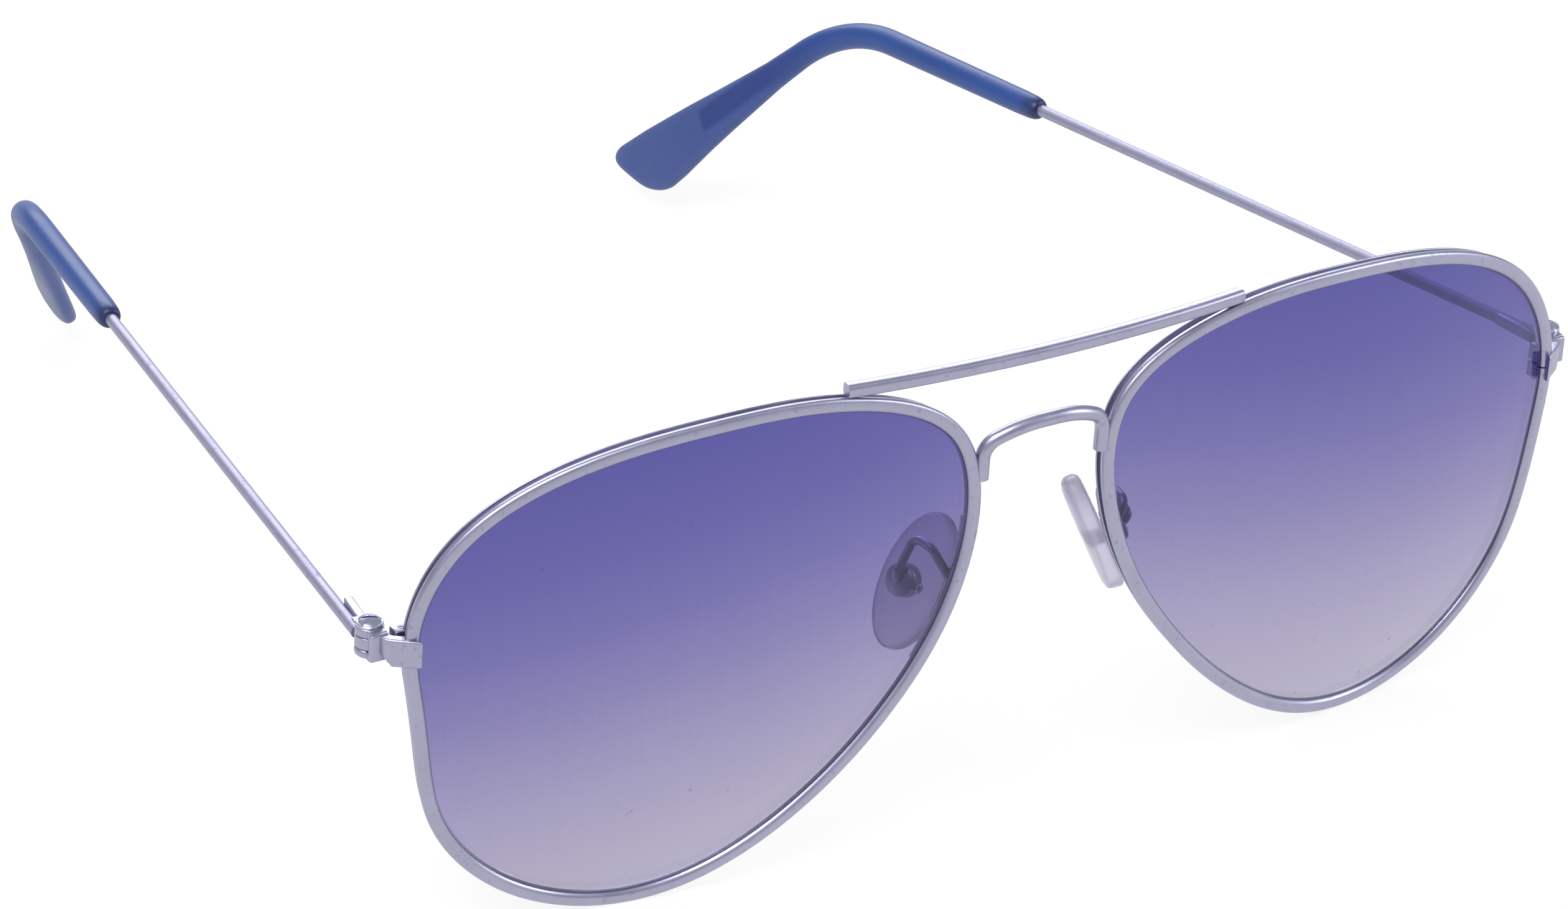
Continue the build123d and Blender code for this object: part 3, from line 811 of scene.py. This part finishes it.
def pad_arm():
    """Strip along the back of the rim, and the bent wire from it to the back of the cup."""
    edge = [p for p in outline_at(rim_middle + arm_strip_outset) if p[0] < -outline_in]
    line = sorted((on_sphere(p, strip_lift) for p in edge), key=lambda p: p.z)
    line = [p for p in line if arm_strip_bottom < p.z < arm_strip_top]
    stations = []
    for i, point in enumerate(line):
        stations.append(placing(point, way_at(line, i), point - sphere_centre))
    shrink = Matrix.Diagonal((0.7, 0.8, 1, 1))
    stations = [stations[0] @ shrink] + stations[1:-1] + [stations[-1] @ shrink]
    strip = swept(bar_ring(arm_strip_depth, arm_strip_width, [0.1, 0.25, 0.25, 0.1]), stations)
    root = rim_point(arm_root_level, nasal=True, outset=arm_strip_outset, lift=strip_lift - arm_root_lift)
    back = pad_place @ Vector((0, 0, cup_floor / 2 - cup_back))
    turn = pad_place @ Vector((0, 0, -cup_back - arm_loop_reach))
    top = pad_place @ Vector((arm_loop_height, 0, -cup_back - arm_loop_reach / 2))
    over = Vector((root.x + arm_step_out, root.y + arm_step_back, top.z))
    stations = bent([back, turn, top, over, root], [arm_bend] * 3, pad_upright)
    return joined(strip, swept(round_ring(arm_wire / 2, 20), stations))


# ---- temples -----------------------------------------------------------------------------------------
def temple_wire_piece():
    """Straight wire from the leaf to a little way inside the tip."""
    start = wire_line + temple_way * wire_start
    stop = wire_line + temple_way * (sleeve_start + 2)
    return swept(round_ring(temple_wire / 2), [placing(p, temple_way, bend_side) for p in (start, stop)])


def temple_tip():
    """Sleeve with a domed mouth, ear bend and flat paddle as one skin with a slanted end."""
    start = wire_line + temple_way * (sleeve_start - mouth_overlap)
    reach = temple_hook - end_slant / 2
    line = bent([start, ear_corner, ear_corner + hook_way * reach], [ear_bend_radius], bend_side, 24)
    lengths = [0.0]
    for a, b in zip(line, line[1:]):
        lengths.append(lengths[-1] + (b.translation - a.translation).length)
    bend_start, bend_end, end = lengths[1], lengths[-2], lengths[-1]
    corner_at = end - reach
    # distance along the tip, width in the plane of the bend, thickness, squareness of the section
    sections = [
        (0.0, 1.5, 1.5, 2.0), (0.05, 1.85, 1.85, 2.0), (0.25, 2.2, 2.2, 2.0), (0.6, 2.45, 2.45, 2.0),
        (1.2, 2.62, 2.62, 2.0), (3.0, 2.75, 2.75, 2.0), (bend_start, 2.9, 2.9, 2.0),
        (bend_end, 2.95, 2.85, 2.1), (corner_at + 12, 3.4, 2.6, 2.3), (corner_at + 20, 5.3, 2.3, 2.7),
        (corner_at + 26, 6.9, 2.15, 3.0), (corner_at + 30, 7.9, paddle_thickness, 3.2),
        (end - end_corner, paddle_end_width, paddle_thickness, 3.2),
    ]
    for i in range(1, 11):
        left = end_corner * (1 - sin(radians(9 * i)))
        corner = end_corner - (end_corner**2 - (end_corner - left) ** 2) ** 0.5
        edge = max(skin_edge - left, 0)
        thinner = skin_edge - (skin_edge**2 - edge**2) ** 0.5
        wide = paddle_end_width - 2 * corner
        thick = paddle_thickness - 2 * min(thinner, 0.9 * skin_edge)
        sections.append((end - left, wide, thick, 3.0 - 0.05 * i))
    places = [section[0] for section in sections]
    stops = sorted(set(places) | set(lengths) | set(np.linspace(bend_end, end - end_corner, 26)))
    made = round_ring(1.0, 40)
    turns = made.verts.layers.float.new("turn")
    for vert in made.verts:
        vert[turns] = atan2(vert.co.y, vert.co.x)
    first = list(made.edges)
    loop, verts = first, list(made.verts)
    for number, at in enumerate(stops):
        if number:
            loop, verts = grown(made, loop)
        k = min(max(j for j in range(len(lengths)) if lengths[j] <= at + 1e-6), len(line) - 2)
        share = (at - lengths[k]) / max(lengths[k + 1] - lengths[k], 1e-6)
        origin = line[k].translation.lerp(line[k + 1].translation, share)
        along = line[k].col[2].to_3d().lerp(line[k + 1].col[2].to_3d(), share)
        place = placing(origin, along, bend_side)
        wide, thick, square = (float(np.interp(at, places, column)) for column in list(zip(*sections))[1:])
        ramp = float(np.interp(at, [end - slant_length, end - end_corner], [0, 1]))
        slant = end_slant / paddle_width * ramp
        for vert in verts:
            u, v = cos(vert[turns]), sin(vert[turns])
            u = abs(u) ** (2 / square) * (1 if u > 0 else -1) * thick / 2
            v = abs(v) ** (2 / square) * (1 if v > 0 else -1) * wide / 2
            vert.co = place @ Vector((u, v, v * slant))
    for ring in (first, loop):
        bmesh.ops.contextual_create(made, geom=ring)
    return made


# ---- the whole pair ----------------------------------------------------------------------------------
silver = satin_silver("satin_silver", 0.33)
matt_silver = satin_silver("matt_silver", 0.50)
steel = screw_steel()
plastic = blue_plastic()
silicone = clear_silicone()
lens_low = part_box("lens_left")[0].z
lens_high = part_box("lens_left")[1].z
glass = tinted_lens(lens_low, lens_high)

both_sides("rim_wire", rim, silver, "front", ["rim"])
both_sides("tinted_lens", lens, glass, "front", ["lens"], sharp=15.0)
finish_piece("brow_bar_wire", brow_bar(), silver, "front", ["brow_bar"])
finish_piece("bridge_wire", bridge(), silver, "front", ["bridge"])
both_sides("end_plate", end_piece, silver, "front", ["end_piece"])
for level, way in (("upper", 1), ("lower", -1)):
    both_sides(
        "block_" + level, partial(closing_block, way), silver, "front",
        ["closing_block_" + level],
    )
both_sides("rim_closing_screw", rim_screw, steel, "front", ["rim_screw"])
both_sides("hinge_knuckles", hinge_front, silver, "front", ["hinge_front"])
both_sides("hinge_domed_screw", hinge_screw, steel, "front", ["hinge_screw"])
both_sides("hinge_leaf", hinge_rear, silver, "temple", ["hinge_rear"])
both_sides("temple_round_wire", temple_wire_piece, matt_silver, "temple", ["temple_wire"])
both_sides("temple_tip_skin", temple_tip, plastic, "temple", ["temple_tip"])
both_sides("pad_arm_wire", pad_arm, silver, "front", ["pad_arm"])
both_sides("pad_cup_shell", pad_cup, silver, "front", ["pad_cup"])
both_sides("pad_slotted_screw", pad_screw, steel, "front", ["pad_screw"])
both_sides("nose_pad_oval", nose_pad, silicone, "pad", ["nose_pad"])

finishes = {
    "lens": glass, "temple_tip": plastic, "nose_pad": silicone, "rim_screw": steel, "hinge_screw": steel,
    "pad_screw": steel,
}
for name, node in nodes.items():
    family = name.rsplit("_", 1)[0]
    node.data.materials.clear()
    node.data.materials.append(finishes.get(family, silver))


# ---- floor, light and camera -------------------------------------------------------------------------
def studio():
    """White floor that keeps the shadow and shows as background, also in metal and glass."""
    floor_mesh = bpy.data.meshes.new("floor")
    made = bmesh.new()
    bmesh.ops.create_grid(made, x_segments=1, y_segments=1, size=3.0)
    made.to_mesh(floor_mesh)
    made.free()
    floor = bpy.data.objects.new("floor", floor_mesh)
    floor.location.z = cad_box[0][2]
    bpy.context.scene.collection.objects.link(floor)
    paint = Paint("pale_floor")
    paint.set(Base_Color=(0.9, 0.9, 0.9, 1), Roughness=0.9)
    rays = paint.add("ShaderNodeLightPath")
    seen = rays[0].math("MAXIMUM", rays[3]).math("MAXIMUM", rays[6])
    white = paint.add("ShaderNodeEmission", None, Color=(1, 1, 1, 1), Strength=1.0)[0]
    mixed = paint.add("ShaderNodeMixShader")[0].output.node
    paint.feed(mixed.inputs[0], seen * 0.85)
    paint.tree.links.new(paint.shader.outputs[0], mixed.inputs[1])
    paint.feed(mixed.inputs[2], white)
    paint.tree.links.new(mixed.outputs[0], paint.surface)
    floor.data.materials.append(paint.material)


def sky():
    world = bpy.data.worlds.new("studio")
    bpy.context.scene.world = world
    world.use_nodes = True
    tree = world.node_tree
    background = tree.nodes["Background"]
    background.inputs["Color"].default_value = (0.86, 0.88, 1.0, 1)
    background.inputs["Strength"].default_value = 0.55


def lamp(name, place, target, size, watts, colour=(1, 1, 1)):
    light = bpy.data.lights.new(name, "AREA")
    light.shape = "RECTANGLE"
    light.size, light.size_y = size
    light.energy = watts
    light.color = colour
    lamp_object = bpy.data.objects.new(name, light)
    lamp_object.location = place
    lamp_object.rotation_euler = (Vector(target) - Vector(place)).to_track_quat("-Z", "Y").to_euler()
    bpy.context.scene.collection.objects.link(lamp_object)


camera_place = Vector((-376.61, -522.16, 367.93))
camera_azimuth, camera_elevation, camera_roll = 33.536, 29.012, 3.99
field_of_view, sensor_width = 11.88, 36


def camera():
    view = bpy.data.cameras.new("view")
    view.sensor_width = sensor_width
    view.lens = sensor_width / 2 / tan(radians(field_of_view) / 2)
    view.clip_start, view.clip_end = 0.01, 20
    view_object = bpy.data.objects.new("view", view)
    turn = (
        Matrix.Rotation(radians(-camera_azimuth), 4, "Z")
        @ Matrix.Rotation(radians(90 - camera_elevation), 4, "X")
        @ Matrix.Rotation(radians(camera_roll), 4, "Z")
    )
    view_object.matrix_world = Matrix.Translation(stand @ camera_place) @ lean @ turn
    bpy.context.scene.collection.objects.link(view_object)
    bpy.context.scene.camera = view_object


studio()
sky()
lamp("key", (-0.5, -0.3, 0.9), (0, 0, 0), (0.7, 0.5), 9.0)
lamp("back", (0.3, 0.9, 0.6), (0, 0, 0.03), (0.9, 0.3), 6.0)
lamp("side", (0.9, -0.5, 0.5), (0, 0, 0.03), (0.4, 0.6), 4.0)
camera()
bpy.context.scene.view_settings.view_transform = "Standard"
